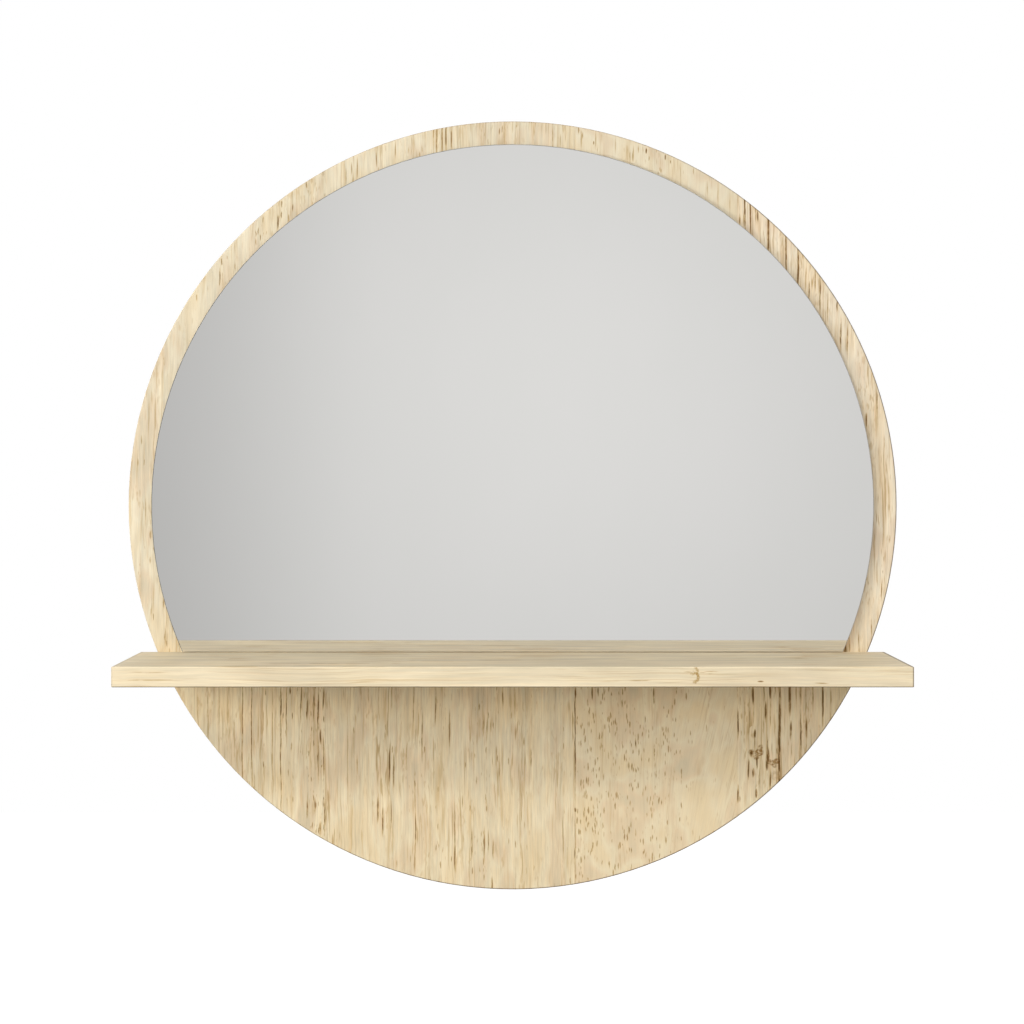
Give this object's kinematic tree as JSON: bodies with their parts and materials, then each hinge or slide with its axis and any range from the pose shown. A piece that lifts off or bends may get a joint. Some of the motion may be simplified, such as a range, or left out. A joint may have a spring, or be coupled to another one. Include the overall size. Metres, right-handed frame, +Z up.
{
  "type": "mirror with shelf",
  "caption": "Round wall mirror on a solid wood disc whose rim shows all round, with a straight wooden shelf across its lower part.",
  "frame": {"origin": "centre of the round panel's back face, which lies flat on the wall", "axes": "+X to the viewer's right, +Y into the wall, +Z up"},
  "size_m": [0.64, 0.136, 0.64],
  "materials": {
    "panel_wood": "clear matt oil on pale solid wood",
    "shelf_wood": "clear matt oil on pale solid wood",
    "dowel_wood": "bare beech",
    "mirror": "clear silvered glass with a ground edge",
    "film": "grey safety film",
    "tape": "white foam",
    "steel": "zinc plated"
  },
  "bodies": {
    "root": {"board_left": "panel_wood", "board_middle_left": "panel_wood", "board_middle_right": "panel_wood", "board_right": "panel_wood", "mirror_glass": "mirror", "mirror_film": "film", "mirror_tape_1": "tape", "mirror_tape_2": "tape", "mirror_tape_3": "tape", "mirror_tape_4": "tape", "mirror_tape_5": "tape", "mirror_tape_6": "tape", "shelf": "shelf_wood", "shelf_screws": "steel", "shelf_dowel_1": "dowel_wood", "shelf_dowel_2": "dowel_wood", "shelf_dowel_3": "dowel_wood", "keyhole_plate_left": "steel", "keyhole_plate_right": "steel", "plate_screws_left": "steel", "plate_screws_right": "steel"}
  },
  "joints": []
}
